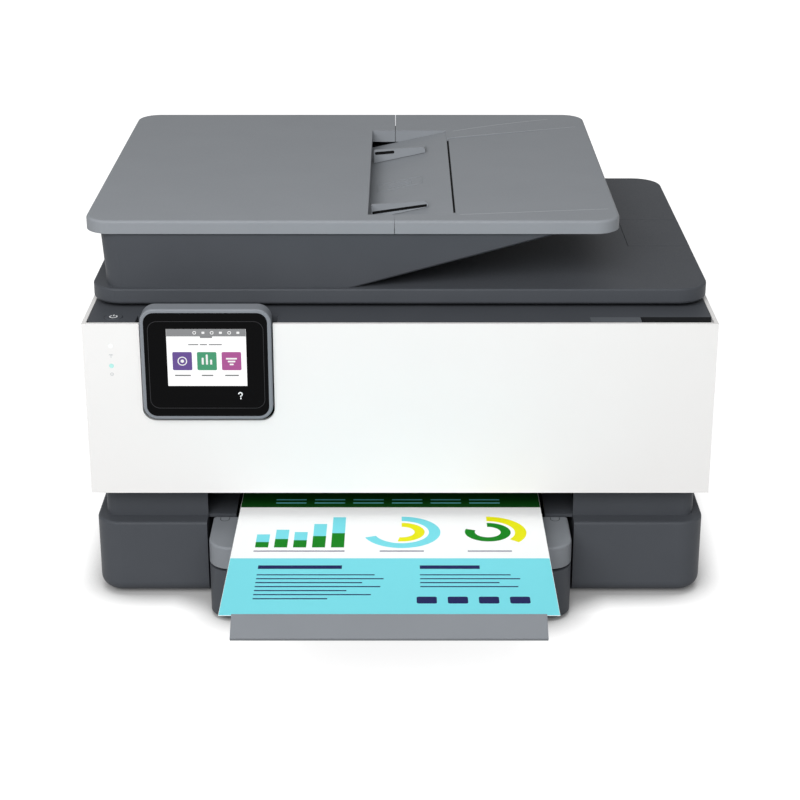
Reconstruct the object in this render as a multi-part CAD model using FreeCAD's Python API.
import FreeCAD, Part
import math
import os

os.makedirs("parts", exist_ok=True)
V = FreeCAD.Vector

# Desktop inkjet all-in-one with a flatbed scanner and a document feeder, in millimetres.
# X runs to the right, Y from the front to the back and Z up from the table.
# Y is measured here from the face of the front door. The last lines move the origin
# to the middle of the footprint.

# Outer sizes
BODY_WIDTH = 439.0
BODY_DEPTH = 342.0
FOOT_HEIGHT = 2.0
LOWER_HEIGHT = 57.0
DOOR_BOTTOM = 85.0
STRIP_TOP = 213.0
LID_GAP = 2.7
LID_HEIGHT = 11.5
FEEDER_HEIGHT = 41.3
COVER_HEIGHT = 9.5

# Walls and clearances
WALL = 2.5
SEAM = 0.4
RUN = 0.4
FIT = 0.05

# Lower case with its two front wings
LOWER_FRONT = 5.0
LOWER_CORNER = 18.0
LOWER_BELLY = 9.0
LEDGE_EDGE = 2.0
FOOT_RADIUS = 9.0
FOOT_MARGIN = 36.0
TUNNEL_GAP = 3.8
RAIL_WIDTH = 20.0

# Upper case inside the white skin
UPPER_INSET = 6.5
UPPER_FRONT = 17.0
UPPER_CORNER = 8.0
SCANNER_HEIGHT = 41.0
BEAM_HEIGHT = 9.0
BEAM_SHELF = 13.0
BAY_MARGIN = 12.0
BAY_HEADER = 6.0

# White skin: front door and side covers
SKIN = 2.8
DOOR_RETURN = 12.0
DOOR_CLEAR = 0.6
DOOR_RIB = 1.6
DOOR_RIB_DEPTH = 4.0
DOOR_RIB_MARGIN = 33.0
DOOR_RIBS = 4
DOOR_AXIS_Y = 7.6
DOOR_AXIS_RISE = 4.6
DOOR_PIN = 2.0
DOOR_EYE = 4.5
DOOR_EAR_INSET = 14.5
DOOR_EAR = 4.0
LIGHT_RADIUS = 1.6
LIGHT_INSET = 19.4
LIGHT_DROPS = (16.2, 31.0)

# Control panel
PANEL_INSET = 40.5
PANEL_WIDTH = 90.5
PANEL_DROP = 69.7
PANEL_RISE = 12.0
PANEL_FRONT = -4.0
PANEL_THICK = 12.0
PANEL_CORNER = 10.0
PANEL_GAP = 0.9
PANEL_SILL = 2.3
PANEL_NOTCH_CORNER = 9.0
PANEL_RIM = 2.6
GLASS_SINK = 2.2
DISPLAY_WIDTH = 54.9
DISPLAY_HEIGHT = 42.2
DISPLAY_LEFT = 18.2
DISPLAY_BOTTOM = 25.3
DISPLAY_DEPTH = 3.0
PANEL_AXIS_Y = 6.0
PANEL_AXIS_DROP = 4.6
PANEL_PIN = 1.8
PANEL_EAR = 3.0
PANEL_EYE = 2.8
BRACKET_FRONT = 11.2
PANEL_BAY_REAR = 17.0

# Scanner bed
BED_TOP_THICK = 4.0
BED_FRONT_GAP = 0.8
BED_CORNER = 5.0
BUTTON_INSET = 20.3
BUTTON_Y = 14.1
BUTTON_RADIUS = 6.3
BUTTON_FLANGE = 7.6
BUTTON_GAP = 0.3
BUTTON_PROUD = 0.3
FINGER_WIDTH = 49.3
FINGER_REAR = 14.0
FINGER_SINK = 10.0
SIDE_SKIRT_REAR = 70.0
CABLE_SLOT_INSET = 20.0
CABLE_SLOT_WIDTH = 60.0
CABLE_SLOT_BACK = 25.0
CABLE_SLOT_DEPTH = 20.0
GLASS_LENGTH = 300.0
GLASS_WIDTH = 220.0
GLASS_THICK = 2.0
GLASS_INSET = 67.5
GLASS_FRONT = 62.0
GLASS_LEDGE = 4.0
STRIP_GLASS = 18.0
STRIP_GAP = 14.0
SCAN_RAIL = 8.0
SCAN_BAR_HEIGHT = 20.0
SCAN_BAR_WIDTH = 22.0

# Scanner lid and its hinges
LID_INSET = 1.5
LID_FRONT = 32.0
LID_CORNER = 22.0
LID_SHELL = 3.0
PAD_MARGIN = 10.0
PAD_CLEAR = 0.4
HINGE_MARGIN = 69.5
HINGE_INSET = 14.0
HINGE_BEHIND = 7.0
HINGE_RISE = 6.5
HINGE_PIN = 2.2
HINGE_EYE = 5.0
HINGE_CHEEK = 8.0
HINGE_ARM = 7.0
STOP_LENGTH = 46.4
STOP_WIDTH = 67.5
STOP_FRONT = 132.0
STOP_THICK = 2.4
STOP_PIN = 0.8
STOP_ROUND = 1.1

# Document feeder
FEEDER_FOOT_INSET = 12.1
FEEDER_HEAD_INSET = 10.0
FEEDER_FOOT_RIGHT = -25.0
FEEDER_HEAD_RIGHT = 118.7
FEEDER_FOOT_FRONT = 35.6
FEEDER_HEAD_FRONT = 31.5
FEEDER_FOOT_BACK = 9.0
FEEDER_HEAD_BACK = 5.0
FEEDER_CORNER = 12.0
EXIT_SLOT_HEIGHT = 9.0
EXIT_SLOT_FRONT = 48.0
EXIT_SLOT_BACK = 22.0
COVER_FRONT = 29.6
COVER_BACK = 3.0
COVER_RIGHT = -22.5
COVER_RAIL_RIGHT = -4.0
COVER_CORNER = 18.0
COVER_EDGE = 2.0
COVER_AXIS_INSET = 20.0
COVER_RIM = 1.5
COVER_AXIS_DROP = 3.5
COVER_PIN = 2.0
COVER_LUG = 3.0
COVER_SKIN = 1.0
TRAY_RIGHT = 153.5
CHUTE_FRONT = 44.6
CHUTE_REAR = 283.0
CHUTE_START = 37.5
CHUTE_END = -60.0
CHUTE_SLOPE = 0.22
CHUTE_DIP = 1.0
GROOVE_WIDTH = 1.6
GROOVE_FRONT = 49.0
GROOVE_REAR = 259.0
DISH_SINK = 0.8
GUIDE_CENTRE = 155.0
GUIDE_GAP = 150.0
GUIDE_LEFT = -20.5
GUIDE_LENGTH = 40.5
GUIDE_HEIGHT = 11.0
GUIDE_STEP = 6.6
GUIDE_LIFT = 0.45
GUIDE_WALL = 2.0
GUIDE_BLOCK = 16.0
PICK_RADIUS = 7.0
PICK_X = -48.0
TURN_RADIUS = 13.0
TURN_INSET = 69.5
TURN_RISE = 19.8
SHAFT_RADIUS = 3.0

# Cassette, output tray and extender
PATH_X = -6.8
TRAY_HALF = 128.3
TRAY_FRONT = -33.0
TRAY_CORNER = 16.0
CASSETTE_TOP = 39.4
CASSETTE_REAR = 290.0
CASSETTE_APRON = 3.0
CASSETTE_SILL = 12.0
HANDLE_HALF = 45.0
HANDLE_DEPTH = 15.0
HANDLE_LOW = 9.0
HANDLE_HIGH = 31.0
SIDE_GUIDE_GAP = 217.0
SIDE_GUIDE_FRONT = 60.0
SIDE_GUIDE_REAR = 200.0
SIDE_GUIDE_FOOT = 14.0
END_GUIDE_HALF = 20.0
END_GUIDE_FRONT = -14.0
END_GUIDE_FOOT = 24.0
STOCK_GUIDE_HEIGHT = 26.0
STOCK_GUIDE_LIFT = 0.35
OUTPUT_GAP = 2.0
ARM_DROP = 1.0
ARM_REAR = 17.3
ARM_EDGE = 1.6
DECK_REAR = 122.0
EXTENDER_HALF = 99.5
EXTENDER_THICK = 3.0
EXTENDER_SIDE = 1.0
EXTENDER_REAR = -12.0
LIP_TOP = (-165.0, 79.0)
LIP_LENGTH = 17.65
LIP_ANGLE = 29.9
LIP_THICK = 2.5
SHEET_WIDTH = 215.9
SHEET_LENGTH = 279.4
SHEET_THICK = 0.3
SHEET_FRONT = -163.2
SHEET_HEIGHT = 76.7
SHEET_SLOPE = 0.0495

# Print engine
CHASSIS_LEFT = 33.5
CHASSIS_RIGHT = 24.0
CHASSIS_FRONT = 105.0
CHASSIS_REAR = 265.0
CHASSIS_SHEET = 1.5
CHASSIS_HEADROOM = 10.0
CHASSIS_BEAM_Y = 244.0
CHASSIS_BEAM_HEIGHT = 62.0
CHASSIS_FLANGE = 10.0
ROD_RADIUS = 4.0
ROD_Y = 196.0
ROD_Z = 130.0
CARRIAGE_WIDTH = 118.0
CARRIAGE_PARK = 6.0
CARRIAGE_FRONT = 95.0
CARRIAGE_REAR = 206.0
CARRIAGE_BOTTOM = 92.0
CARRIAGE_WALL = 2.0
CARRIAGE_BACK = 26.0
CARRIAGE_HEIGHT = 58.0
NOZZLE_HEIGHT = 3.4
INK_WIDTHS = (33.0, 24.0, 24.0, 24.0)
INK_GAP = 1.4
INK_LENGTH = 80.0
INK_HEIGHT = 50.0
MODULE = 2.0
FEED_TEETH = 16
IDLER_TEETH = 27
PINION_TEETH = 10
BACKLASH = 0.35
TOOTH_TIP = 0.9
TOOTH_ROOT = 1.2
PRESSURE_ANGLE = 20.0
PINION_STEPS = 13
GEAR_WIDTH = 7.0
GEAR_GAP = 2.0
ROLLER_Z = 80.0
FEED_Y = 212.0
FEED_RADIUS = 6.2
TYRE_RADIUS = 6.5
TYRE_WIDTH = 18.0
MOTOR_RADIUS = 16.0
FEED_MOTOR_LENGTH = 34.0
CARRIAGE_MOTOR_LENGTH = 35.0
PLATEN_FRONT = 138.0
PLATEN_REAR = 200.0
PLATEN_TOP = 84.0
PLATEN_THICK = 8.0
PLATEN_RIB = 2.5
PLATEN_RIBS = 13
BELT_Y = 222.0
BELT_Z = 146.0
BELT_HEIGHT = 5.0
BELT_THICK = 1.2
PULLEY_RADIUS = 6.0
PULLEY_INSET = 13.0
SHELF_DROP = 6.0
SHELF_HALF = 16.0
SERVICE_MARGIN = 9.5
SERVICE_CLEAR = 4.2
SERVICE_FRONT = 138.0
SERVICE_REAR = 196.0
SERVICE_GAP = 1.2
PICK_ARM_INSET = 33.0
PICK_ARM_Z = 50.0
PICK_ROLLER_Y = 258.0
PICK_ROLLER_Z = 46.0
PICK_ROLLER_RADIUS = 12.0
PICK_HALF = 22.0
PICK_PLATE = 2.5

# Rear cover, connectors and boards
REAR_COVER = 3.6
REAR_HALF = 128.0
REAR_BOTTOM = 66.0
REAR_TOP = 150.0
REAR_RIBS = 9
REAR_RIB_DEPTH = 14.0
REAR_PIN = 1.0
INLET_INSET = 54.5
INLET_Z = 26.0
INLET_SIZE = (30.0, 22.0, 20.0)
USB_INSET = 29.5
USB_SIZE = (13.0, 12.0, 15.0)
NETWORK_INSET = 52.0
NETWORK_SIZE = (17.0, 14.0, 16.0)
PORT_Z = 76.0
PORT_WALL = 1.2
BOARD_CLEAR = 10.1
BOARD_DEPTH = 66.0
BOARD_THICK = 1.6
BOARD_LEFT = 10.0
BOARD_FRONT = 30.0
BOARD_POST = 5.0
SUPPLY_CLEAR = 14.2
SUPPLY_DEPTH = 96.0
SUPPLY_HEIGHT = 38.0
SUPPLY_MARGIN = 33.5
SUPPLY_FRONT = 214.0

# Levels and edges that follow from the sizes above
HALF = BODY_WIDTH / 2
FLOOR = FOOT_HEIGHT + WALL
LOWER_TOP = FOOT_HEIGHT + LOWER_HEIGHT
LID_BOTTOM = STRIP_TOP + LID_GAP
LID_TOP = LID_BOTTOM + LID_HEIGHT
FEEDER_TOP = LID_TOP + FEEDER_HEIGHT
TOP = FEEDER_TOP + COVER_HEIGHT
CASE_REAR = BODY_DEPTH - REAR_COVER - SEAM
UPPER_HALF = HALF - UPPER_INSET
BED_BOTTOM = STRIP_TOP - SCANNER_HEIGHT
BED_HALF = HALF - SKIN - SEAM
BED_FRONT = SKIN + BED_FRONT_GAP
SKIRT_BOTTOM = STRIP_TOP - FINGER_SINK
SKIRT_REAR = FINGER_REAR + WALL
TUNNEL_LEFT = PATH_X - TRAY_HALF - TUNNEL_GAP
TUNNEL_RIGHT = PATH_X + TRAY_HALF + TUNNEL_GAP
PANEL_LEFT = -HALF + PANEL_INSET
PANEL_RIGHT = PANEL_LEFT + PANEL_WIDTH
PANEL_BOTTOM = STRIP_TOP - PANEL_DROP
PANEL_TOP = STRIP_TOP + PANEL_RISE
DOOR_AXIS_Z = DOOR_BOTTOM + DOOR_AXIS_RISE
DOOR_EAR_X = HALF - DOOR_EAR_INSET
HINGE_X = HALF - HINGE_MARGIN
HINGE_Y = BODY_DEPTH - HINGE_INSET
LID_REAR = HINGE_Y - HINGE_BEHIND
GLASS_LEFT = -HALF + GLASS_INSET
FEEDER_FOOT_REAR = BODY_DEPTH - FEEDER_FOOT_BACK
FEEDER_HEAD_REAR = BODY_DEPTH - FEEDER_HEAD_BACK
EXIT_SLOT_REAR = BODY_DEPTH - EXIT_SLOT_BACK
COVER_REAR = BODY_DEPTH - COVER_BACK
TURN_X = -HALF + TURN_INSET
HINGE_Z = STRIP_TOP + HINGE_RISE
PANEL_AXIS_Z = STRIP_TOP - PANEL_AXIS_DROP
CASSETTE_BOTTOM = FLOOR + RUN
CASSETTE_FLOOR = CASSETTE_BOTTOM + WALL
ARM_BOTTOM = CASSETTE_TOP + OUTPUT_GAP
ARM_TOP = LOWER_TOP - ARM_DROP
PLATE_LEFT = -HALF + CHASSIS_LEFT
PLATE_RIGHT = HALF - CHASSIS_RIGHT
CHASSIS_TOP = BED_BOTTOM - CHASSIS_HEADROOM
SERVICE_LEFT = TUNNEL_RIGHT + WALL + SERVICE_CLEAR
SERVICE_WIDTH = PLATE_RIGHT - SERVICE_MARGIN - SERVICE_LEFT
SUPPLY_LEFT = TUNNEL_RIGHT + WALL + SUPPLY_CLEAR
PICK_ARM_Y = CASE_REAR - PICK_ARM_INSET
INLET_X = HALF - INLET_INSET
USB_X = -HALF + USB_INSET
NETWORK_X = -HALF + NETWORK_INSET
FEED_PITCH = MODULE * FEED_TEETH / 2
IDLER_PITCH = MODULE * IDLER_TEETH / 2
IDLER_Y = FEED_Y - FEED_PITCH - IDLER_PITCH
EXIT_Y = IDLER_Y - IDLER_PITCH - FEED_PITCH
PINION_REACH = MODULE * (IDLER_TEETH + PINION_TEETH) / 2
PINION_ANGLE = math.pi * PINION_STEPS / IDLER_TEETH
PINION_Y = IDLER_Y + PINION_REACH * math.cos(PINION_ANGLE)
PINION_Z = ROLLER_Z + PINION_REACH * math.sin(PINION_ANGLE)
GEAR_RIGHT = PLATE_LEFT - GEAR_GAP
GEAR_LEFT = GEAR_RIGHT - GEAR_WIDTH
CARRIAGE_RIGHT = PLATE_RIGHT - CARRIAGE_PARK
CARRIAGE_LEFT = CARRIAGE_RIGHT - CARRIAGE_WIDTH
GLASS_TOP = STRIP_TOP - FIT
REAR_AXIS_Y = CASE_REAR + SEAM + REAR_COVER / 2
REAR_AXIS_Z = REAR_BOTTOM + REAR_COVER / 2


def block(x, y, z):
    """Box between the low and high values given for X, Y and Z."""
    return Part.makeBox(x[1] - x[0], y[1] - y[0], z[1] - z[0], V(x[0], y[0], z[0]))


def rod(start, end, radius):
    """Round bar from one point to another."""
    line = V(*end) - V(*start)
    return Part.makeCylinder(radius, line.Length, V(*start), line)


def outline(x, y, z, front, back):
    """Rectangle at height z with rounded front and back corners."""
    corners = [(x[0], y[0], 1, 1, front), (x[1], y[0], -1, 1, front)]
    corners += [(x[1], y[1], -1, -1, back), (x[0], y[1], 1, -1, back)]
    edges = []
    ends = []
    for index, (px, py, sx, sy, r) in enumerate(corners):
        along_x = V(px + sx * r, py, z)
        along_y = V(px, py + sy * r, z)
        slack = r * (1 - math.sqrt(0.5))
        middle = V(px + sx * slack, py + sy * slack, z)
        first, last = (along_y, along_x) if index % 2 == 0 else (along_x, along_y)
        ends.append((first, last))
        edges.append(Part.Arc(first, middle, last).toShape())
    for index in range(4):
        edges.append(Part.makeLine(ends[index][1], ends[(index + 1) % 4][0]))
    return Part.Wire(Part.__sortEdges__(edges))


def plate(x, y, z, front, back=None):
    """Upright prism with rounded corners."""
    back = front if back is None else back
    face = Part.Face(outline(x, y, z[0], front, back))
    return face.extrude(V(0, 0, z[1] - z[0]))


def along_x(points, x):
    """Closed profile of Y and Z points drawn out along X."""
    path = [V(x[0], y, z) for y, z in points]
    face = Part.Face(Part.makePolygon(path + path[:1]))
    return face.extrude(V(x[1] - x[0], 0, 0))


def along_y(points, y):
    """Closed profile of X and Z points drawn out along Y."""
    path = [V(px, y[0], z) for px, z in points]
    face = Part.Face(Part.makePolygon(path + path[:1]))
    return face.extrude(V(0, y[1] - y[0], 0))


def grow(span, amount):
    """Low and high values moved apart by an amount at each end."""
    return (span[0] - amount, span[1] + amount)


def level(z):
    """Test for edges that lie flat at height z."""
    return lambda e: abs(e.BoundBox.ZMin - z) < 0.001 and abs(e.BoundBox.ZMax - z) < 0.001


def bevelled(shape, size, test):
    """Shape with the edges that pass a test cut off at a slant."""
    return shape.makeChamfer(size, [e for e in shape.Edges if test(e)])


def rounded(shape, radius, test):
    """Shape with the edges that pass a test rounded."""
    return shape.makeFillet(radius, [e for e in shape.Edges if test(e)])


def eye(x, y, z, radius, base):
    """Rounded lug on an X axis, widening to a base line between two Y and Z points."""
    disc = rod((x[0], y, z), (x[1], y, z), radius)
    away = V(0, base[0][0] + base[1][0] - 2 * y, base[0][1] + base[1][1] - 2 * z).normalize()
    across = V(0, -away.z, away.y) * radius
    ends = [(y + across.y, z + across.z), (y - across.y, z - across.z)]
    low, high = base
    straight = math.dist(ends[1], low) + math.dist(ends[0], high)
    crossed = math.dist(ends[0], low) + math.dist(ends[1], high)
    if crossed < straight:
        ends.reverse()
    return disc.fuse(along_x(ends + [low, high], x)).removeSplitter()


def sheet_z(y):
    """Height of the lower face of a sheet in the output tray."""
    return SHEET_HEIGHT - (y - SHEET_FRONT) * SHEET_SLOPE


def sloped(x, y, top, bottom):
    """Plate parallel to the output sheet, between two offsets from its lower face."""
    low = [(y[0], sheet_z(y[0]) + bottom), (y[1], sheet_z(y[1]) + bottom)]
    high = [(y[1], sheet_z(y[1]) + top), (y[0], sheet_z(y[0]) + top)]
    return along_x(low + high, x)


def chute_z(x):
    """Height of the feeder's chute floor."""
    return TOP - CHUTE_DIP - (CHUTE_START - x) * CHUTE_SLOPE


# Housing


def lower_case():
    body = plate((-HALF, HALF), (LOWER_FRONT, CASE_REAR), (FOOT_HEIGHT, LOWER_TOP), LOWER_CORNER)
    body = rounded(body, LOWER_BELLY, level(FOOT_HEIGHT))
    body = rounded(body, LEDGE_EDGE, level(LOWER_TOP))
    inner = plate(grow((-HALF, HALF), -WALL), grow((LOWER_FRONT, CASE_REAR), -WALL),
                  (FLOOR, LOWER_TOP - WALL), LOWER_CORNER - WALL)
    inner = bevelled(inner, LOWER_BELLY - WALL, level(FLOOR))
    opening = plate(grow((-UPPER_HALF, UPPER_HALF), -WALL),
                    grow((UPPER_FRONT, CASE_REAR), -WALL),
                    (LOWER_TOP - 2 * WALL, LOWER_TOP + WALL), UPPER_CORNER - WALL)
    shell = body.cut(inner).cut(opening)
    mouth = block((TUNNEL_LEFT, TUNNEL_RIGHT), (LOWER_FRONT - WALL, UPPER_FRONT + 2 * WALL),
                  (FLOOR, LOWER_TOP + WALL))
    shell = shell.cut(mouth)
    for edge, side in ((TUNNEL_LEFT, -1), (TUNNEL_RIGHT, 1)):
        wall = sorted((edge, edge + side * WALL))
        run = block(wall, (LOWER_FRONT, CASE_REAR), (FOOT_HEIGHT, LOWER_TOP))
        rail = block(sorted((edge + side * WALL, edge - side * RAIL_WIDTH)),
                     (UPPER_FRONT + WALL, CASE_REAR - WALL), (LOWER_TOP - WALL, LOWER_TOP))
        bore = rod((edge - WALL, PICK_ARM_Y, PICK_ARM_Z), (edge + WALL, PICK_ARM_Y, PICK_ARM_Z),
                   SHAFT_RADIUS + FIT)
        shell = shell.fuse([run.common(body), rail]).cut(bore)
    inlet = block(grow((INLET_X, INLET_X), INLET_SIZE[0] / 2 + SEAM),
                  grow((CASE_REAR, CASE_REAR), WALL + SEAM),
                  grow((INLET_Z, INLET_Z), INLET_SIZE[1] / 2 + SEAM))
    return shell.cut(inlet).removeSplitter()


def rubber_feet():
    feet = []
    for x in (-HALF + FOOT_MARGIN, HALF - FOOT_MARGIN):
        for y in (LOWER_FRONT + FOOT_MARGIN, CASE_REAR - FOOT_MARGIN):
            foot = Part.makeCone(FOOT_RADIUS - FOOT_HEIGHT / 2, FOOT_RADIUS, FOOT_HEIGHT, V(x, y, 0))
            feet.append(foot)
    return feet


def upper_case():
    sides = (-UPPER_HALF, UPPER_HALF)
    depth = (UPPER_FRONT, CASE_REAR)
    shell = plate(sides, depth, (LOWER_TOP, BED_BOTTOM), UPPER_CORNER)
    shell = shell.cut(plate(grow(sides, -WALL), grow(depth, -WALL), (LOWER_TOP, BED_BOTTOM),
                            UPPER_CORNER - WALL))
    front = grow((UPPER_FRONT, UPPER_FRONT), 2 * WALL)
    beam_low = DOOR_BOTTOM + SEAM
    beam_high = beam_low + BEAM_HEIGHT
    shell = shell.cut(block((TUNNEL_LEFT, TUNNEL_RIGHT), front, (LOWER_TOP, beam_low)))
    shell = shell.cut(block(grow(sides, -BAY_MARGIN), front, (beam_high, BED_BOTTOM - BAY_HEADER)))
    shelf = block(grow(sides, -WALL), (UPPER_FRONT, UPPER_FRONT + BEAM_SHELF), (beam_low, beam_low + WALL))
    shell = shell.fuse(shelf)
    rear = grow((CASE_REAR, CASE_REAR), 2 * WALL)
    shell = shell.cut(block(grow((PATH_X, PATH_X), REAR_HALF - WALL), rear, (REAR_BOTTOM, REAR_TOP - WALL)))
    for x, size in ((USB_X, USB_SIZE), (NETWORK_X, NETWORK_SIZE)):
        shell = shell.cut(block(grow((x, x), size[0] / 2 + SEAM), rear,
                                grow((PORT_Z, PORT_Z), size[1] / 2 + SEAM)))
    for side in (-1, 1):
        span = sorted((side * DOOR_EAR_X, side * (DOOR_EAR_X - DOOR_EAR)))
        ear = eye(span, DOOR_AXIS_Y, DOOR_AXIS_Z, DOOR_EYE,
                  ((UPPER_FRONT, beam_low), (UPPER_FRONT, beam_high)))
        bore = rod((span[0], DOOR_AXIS_Y, DOOR_AXIS_Z), (span[1], DOOR_AXIS_Y, DOOR_AXIS_Z), DOOR_PIN + FIT)
        shell = shell.fuse(ear).cut(bore)
    for side in (-1, 1):
        x = PATH_X + side * (REAR_HALF - 3 * WALL)
        span = sorted((x, x + side * WALL))
        lug = eye(span, REAR_AXIS_Y, REAR_AXIS_Z, REAR_COVER / 2,
                  ((CASE_REAR, REAR_BOTTOM - 2 * WALL), (CASE_REAR, REAR_BOTTOM)))
        lug = lug.cut(rod((span[0], REAR_AXIS_Y, REAR_AXIS_Z), (span[1], REAR_AXIS_Y, REAR_AXIS_Z),
                          REAR_PIN + FIT))
        shell = shell.fuse(lug)
    return shell.removeSplitter()


def side_cover(side):
    skin = block(sorted((side * (HALF - SKIN), side * HALF)), (DOOR_RETURN + DOOR_CLEAR, CASE_REAR),
                 (DOOR_BOTTOM, STRIP_TOP))
    gap = sorted((side * UPPER_HALF, side * (HALF - SKIN)))
    skin = skin.fuse(block(gap, (CASE_REAR - WALL - UPPER_CORNER, CASE_REAR - UPPER_CORNER),
                           (DOOR_BOTTOM, BED_BOTTOM - SEAM)))
    skin = skin.fuse(block(gap, (UPPER_FRONT + UPPER_CORNER, CASE_REAR - UPPER_CORNER),
                           (DOOR_BOTTOM, DOOR_BOTTOM + WALL)))
    skin = skin.fuse(block(gap, (UPPER_FRONT + UPPER_CORNER, CASE_REAR - UPPER_CORNER),
                           (BED_BOTTOM - WALL - SEAM, BED_BOTTOM - SEAM)))
    return skin.removeSplitter()


def front_door():
    height = (DOOR_BOTTOM, STRIP_TOP)
    door = block((-HALF, HALF), (0, SKIN), height)
    for side in (-1, 1):
        wing = block(sorted((side * (HALF - SKIN), side * HALF)), (0, DOOR_RETURN), height)
        heel = [e for e in wing.Edges if abs(e.CenterOfMass.y - DOOR_RETURN) < 0.001
                and abs(e.CenterOfMass.z - DOOR_BOTTOM) < 0.001]
        door = door.fuse(wing.makeFillet(DOOR_RETURN - SKIN, heel))
    notch = grow((PANEL_LEFT, PANEL_RIGHT), PANEL_GAP)
    sill = PANEL_BOTTOM - PANEL_SILL
    hole = block(notch, grow((0, SKIN), WALL), (sill, STRIP_TOP + WALL))
    hole = rounded(hole, PANEL_NOTCH_CORNER,
                   lambda e: e.BoundBox.ZMax < sill + 0.001 and e.BoundBox.YLength > SKIN)
    door = door.cut(hole)
    ribs = [block((-HALF + SKIN, HALF - SKIN), (SKIN, SKIN + DOOR_RIB_DEPTH), (z, z + DOOR_RIB))
            for z in (DOOR_BOTTOM + 3 * DOOR_EYE, sill - 2 * DOOR_RIB)]
    first = PANEL_RIGHT + PANEL_GAP + DOOR_RIB
    pitch = (HALF - DOOR_RIB_MARGIN - first) / (DOOR_RIBS - 1)
    for x in [-HALF + DOOR_RIB_MARGIN] + [first + index * pitch for index in range(DOOR_RIBS)]:
        ribs.append(block((x, x + DOOR_RIB), (SKIN, SKIN + DOOR_RIB_DEPTH),
                          (DOOR_BOTTOM + 3 * DOOR_EYE, BED_BOTTOM - BAY_HEADER)))
    door = door.fuse(ribs)
    for side in (-1, 1):
        inner = DOOR_EAR_X - DOOR_EAR - RUN
        span = sorted((side * inner, side * (inner - DOOR_EAR)))
        lug = eye(span, DOOR_AXIS_Y, DOOR_AXIS_Z, DOOR_EYE,
                  ((SKIN, DOOR_BOTTOM), (SKIN, DOOR_BOTTOM + 3 * DOOR_EYE)))
        pin = rod((side * (inner - DOOR_EAR), DOOR_AXIS_Y, DOOR_AXIS_Z),
                  (side * (DOOR_EAR_X + RUN), DOOR_AXIS_Y, DOOR_AXIS_Z), DOOR_PIN)
        door = door.fuse([lug, pin])
    for drop in LIGHT_DROPS:
        z = STRIP_TOP - drop
        door = door.cut(rod((-HALF + LIGHT_INSET, -WALL, z), (-HALF + LIGHT_INSET, 2 * SKIN, z),
                            LIGHT_RADIUS + FIT))
    return door.removeSplitter()


def status_lights():
    lights = []
    for drop in LIGHT_DROPS:
        z = STRIP_TOP - drop
        lights.append(rod((-HALF + LIGHT_INSET, 0, z), (-HALF + LIGHT_INSET, SKIN, z), LIGHT_RADIUS))
    return lights


# Control panel


def upright(x, z, y, radius):
    """Plate standing in the X and Z plane, with rounded corners."""
    flat = plate(x, z, (-y[1], -y[0]), radius)
    return flat.rotate(V(0, 0, 0), V(1, 0, 0), 90)


def panel_housing():
    span = (PANEL_LEFT, PANEL_RIGHT)
    height = (PANEL_BOTTOM, PANEL_TOP)
    rear = PANEL_FRONT + PANEL_THICK
    case = upright(span, height, (PANEL_FRONT, rear), PANEL_CORNER)
    case = rounded(case, WALL / 2, lambda e: e.BoundBox.YMax < PANEL_FRONT + 0.001)
    case = case.cut(upright(grow(span, -PANEL_RIM), grow(height, -PANEL_RIM),
                            (PANEL_FRONT - WALL, PANEL_FRONT + GLASS_SINK), PANEL_CORNER - PANEL_RIM))
    left = PANEL_LEFT + DISPLAY_LEFT
    low = PANEL_BOTTOM + DISPLAY_BOTTOM
    case = case.cut(block(grow((left, left + DISPLAY_WIDTH), SEAM),
                          (PANEL_FRONT, PANEL_FRONT + DISPLAY_DEPTH + SEAM),
                          grow((low, low + DISPLAY_HEIGHT), SEAM)))
    case = case.fuse(rod((PANEL_LEFT - RUN - PANEL_EAR, PANEL_AXIS_Y, PANEL_AXIS_Z),
                         (PANEL_RIGHT + RUN + PANEL_EAR, PANEL_AXIS_Y, PANEL_AXIS_Z), PANEL_PIN))
    return case.removeSplitter()


def panel_glass():
    rim = PANEL_RIM + SEAM / 2
    glass = upright(grow((PANEL_LEFT, PANEL_RIGHT), -rim), grow((PANEL_BOTTOM, PANEL_TOP), -rim),
                    (PANEL_FRONT - SEAM / 2, PANEL_FRONT + GLASS_SINK), PANEL_CORNER - rim)
    left = PANEL_LEFT + DISPLAY_LEFT
    low = PANEL_BOTTOM + DISPLAY_BOTTOM
    return glass.cut(block((left, left + DISPLAY_WIDTH), grow((PANEL_FRONT, PANEL_FRONT), 2 * GLASS_SINK),
                           (low, low + DISPLAY_HEIGHT)))


def display():
    left = PANEL_LEFT + DISPLAY_LEFT
    low = PANEL_BOTTOM + DISPLAY_BOTTOM
    return block((left + FIT, left + DISPLAY_WIDTH - FIT), (PANEL_FRONT, PANEL_FRONT + DISPLAY_DEPTH),
                 (low + FIT, low + DISPLAY_HEIGHT - FIT))


def panel_bracket():
    low = BED_BOTTOM + WALL
    high = PANEL_AXIS_Z - PANEL_EYE - PANEL_PIN
    span = (PANEL_LEFT - RUN - PANEL_EAR, PANEL_RIGHT + RUN + PANEL_EAR)
    bracket = block(span, (BRACKET_FRONT, PANEL_BAY_REAR), (low, high))
    for x in ((span[0], span[0] + PANEL_EAR), (span[1] - PANEL_EAR, span[1])):
        ear = eye(x, PANEL_AXIS_Y, PANEL_AXIS_Z, PANEL_EYE,
                  ((PANEL_BAY_REAR, high - 3 * PANEL_EYE), (PANEL_BAY_REAR, high)))
        bore = rod((x[0], PANEL_AXIS_Y, PANEL_AXIS_Z), (x[1], PANEL_AXIS_Y, PANEL_AXIS_Z), PANEL_PIN + FIT)
        bracket = bracket.fuse(ear).cut(bore)
    return bracket.removeSplitter()


# Scanner


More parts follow.
